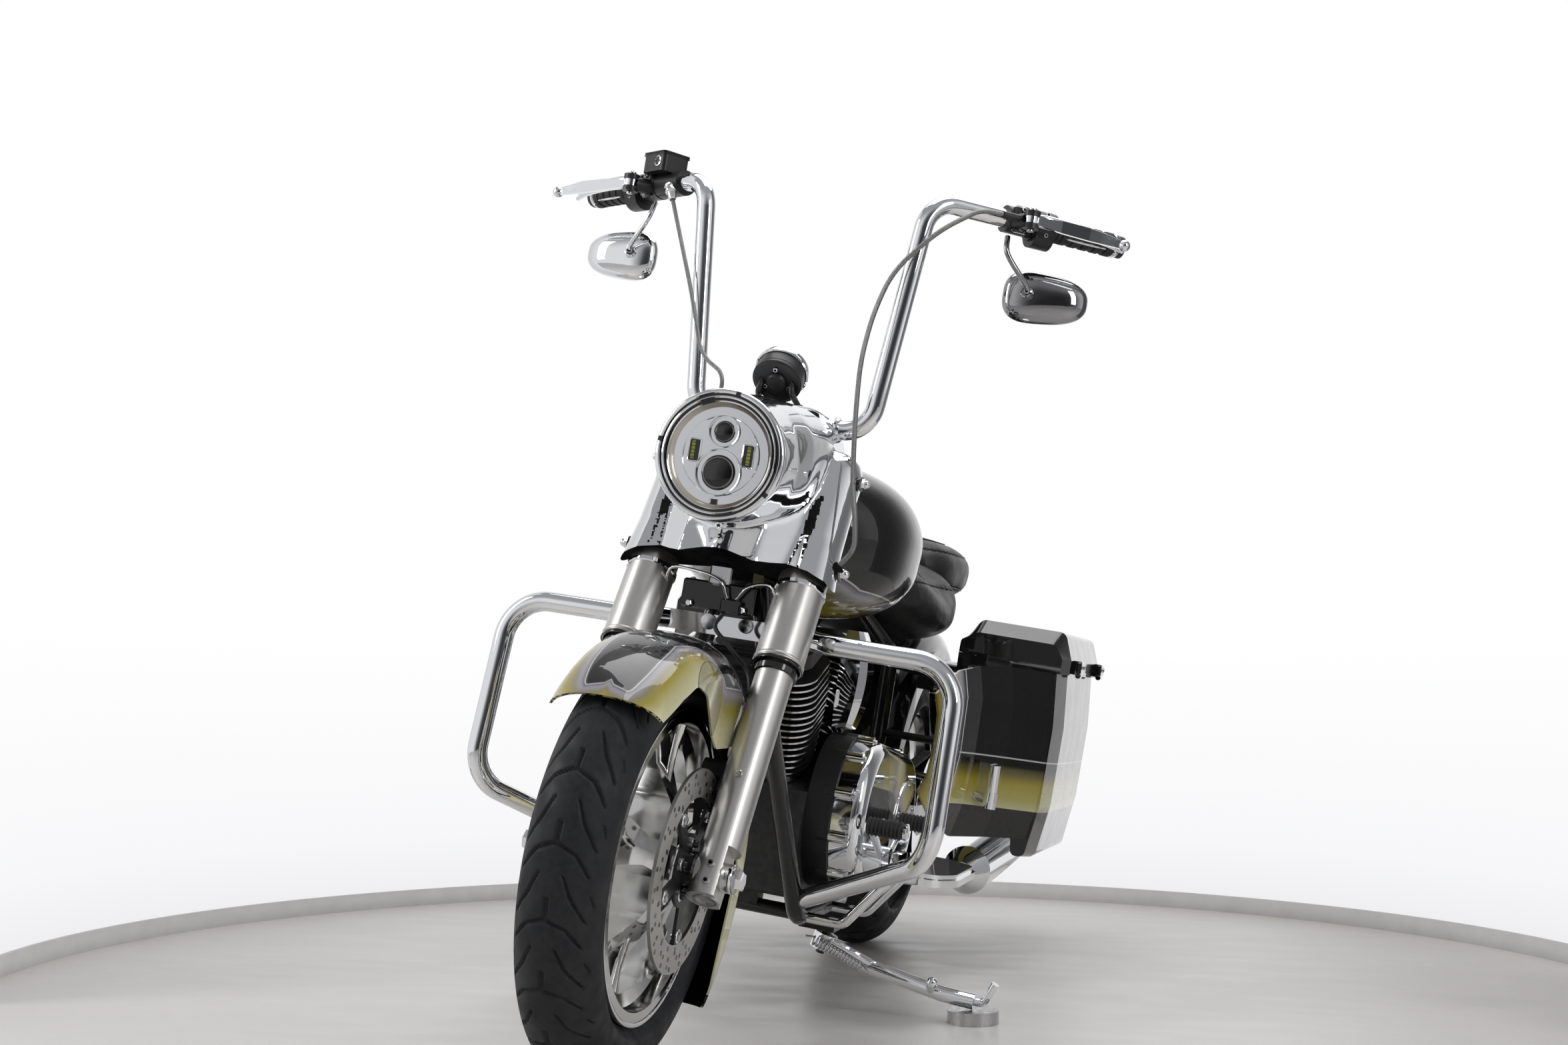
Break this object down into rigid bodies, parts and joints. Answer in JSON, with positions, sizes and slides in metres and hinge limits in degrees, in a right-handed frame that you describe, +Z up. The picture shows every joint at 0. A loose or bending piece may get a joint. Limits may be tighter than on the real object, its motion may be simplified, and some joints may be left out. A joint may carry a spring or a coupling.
{
  "type": "touring motorcycle",
  "caption": "Two-wheeled touring motorcycle with tall handlebar, chromed headlamp nacelle, V-twin engine, hard lidded side cases and a deployed side stand.",
  "frame": {"origin": "on the floor, under the centre of the leaning machine's bounding box", "axes": "+Z up, -Y ahead along the machine, +X to its left, which is the side it leans to"},
  "size_m": [1.0941, 2.35, 1.5079],
  "materials": {
    "black_paint": "high gloss black with clear coat",
    "frame_paint": "gloss black",
    "engine_black": "black wrinkle and satin paint with bright fin edges",
    "chrome": "polished",
    "satin_alloy": "satin brushed",
    "cast_alloy": "polished casting",
    "steel": "ground",
    "tyre": "matte",
    "rubber": "matte",
    "seat_cover": "soft sheen vinyl",
    "cable_braid": "braided sleeve",
    "lens": "clear",
    "red_lens": "red lamp lens",
    "black_plastic": "fine grain"
  },
  "bodies": {
    "chassis": {"air_cleaner": "chrome", "brake_pedal": "chrome", "cam_cover": "chrome", "crankcase": "engine_black", "cylinder_front": "engine_black", "cylinder_rear": "engine_black", "drive_belt": "rubber", "drive_sprocket": "steel", "engine_guard": "chrome", "exhaust_pipes": "chrome", "floorboards": "chrome", "frame": "frame_paint", "fuel_tank": "black_paint", "horn_cover": "chrome", "mufflers": "chrome", "oil_cooler": "engine_black", "passenger_pegs": "chrome", "pillion_seat": "seat_cover", "primary_cover": "chrome", "rear_caliper": "black_plastic", "rear_fender": "black_paint", "rear_shocks": "chrome", "rider_seat": "seat_cover", "saddlebag_left": "black_paint", "saddlebag_right": "black_paint", "shift_lever": "chrome", "side_cover_left": "black_paint", "side_cover_right": "black_paint", "swingarm": "frame_paint", "tail_lamp": "red_lens", "tank_console": "chrome"},
    "steering": {"fork_legs": "satin_alloy", "fork_covers": "chrome", "triple_clamps": "satin_alloy", "handlebar": "chrome", "grips": "rubber", "hand_controls": "black_plastic", "levers": "chrome", "mirrors": "chrome", "nacelle": "chrome", "headlamp_bezel": "chrome", "headlamp_unit": "lens", "gauge": "black_plastic", "front_caliper": "black_plastic", "front_fender": "black_paint", "clutch_cable": "cable_braid", "brake_hose": "cable_braid", "front_axle": "steel"},
    "front_wheel": {"front_tyre": "tyre", "front_rim": "cast_alloy", "front_disc": "steel"},
    "rear_wheel": {"rear_tyre": "tyre", "rear_rim": "cast_alloy", "rear_disc": "steel", "rear_pulley": "cast_alloy"},
    "side_stand": {"side_stand": "chrome", "stand_puck": "steel", "stand_spring": "steel"},
    "lid_left": {"bag_lid_left": "black_paint"},
    "lid_right": {"bag_lid_right": "black_paint"}
  },
  "joints": [
    {"name": "steering_pivot", "type": "hinge", "parent": "chassis", "child": "steering", "pos_m": [-0.04748, -0.60067, 0.86047], "axis": [0.1375, 0.4384, 0.8882], "range_deg": [-24, 24]},
    {"name": "front_wheel_spin", "type": "hinge", "parent": "steering", "child": "front_wheel", "pos_m": [-0.13162, -0.855, 0.31694], "axis": [0.9882, 0, -0.153], "continuous": true},
    {"name": "rear_wheel_spin", "type": "hinge", "parent": "chassis", "child": "rear_wheel", "pos_m": [-0.13157, 0.77, 0.31729], "axis": [0.9882, 0, -0.153], "continuous": true},
    {"name": "side_stand_fold", "type": "hinge", "parent": "chassis", "child": "side_stand", "pos_m": [-0.0094, -0.19, 0.12599], "axis": [0.3666, 0, 0.9304], "range_deg": [0, 90], "deforming": ["stand_spring"]},
    {"name": "lid_left_hinge", "type": "hinge", "parent": "chassis", "child": "lid_left", "pos_m": [0.36229, 0.726, 0.59869], "axis": [0, 1, 0], "range_deg": [0, 95]},
    {"name": "lid_right_hinge", "type": "hinge", "parent": "chassis", "child": "lid_right", "pos_m": [-0.51723, 0.726, 0.73485], "axis": [0, 1, 0], "range_deg": [-95, 0]}
  ]
}
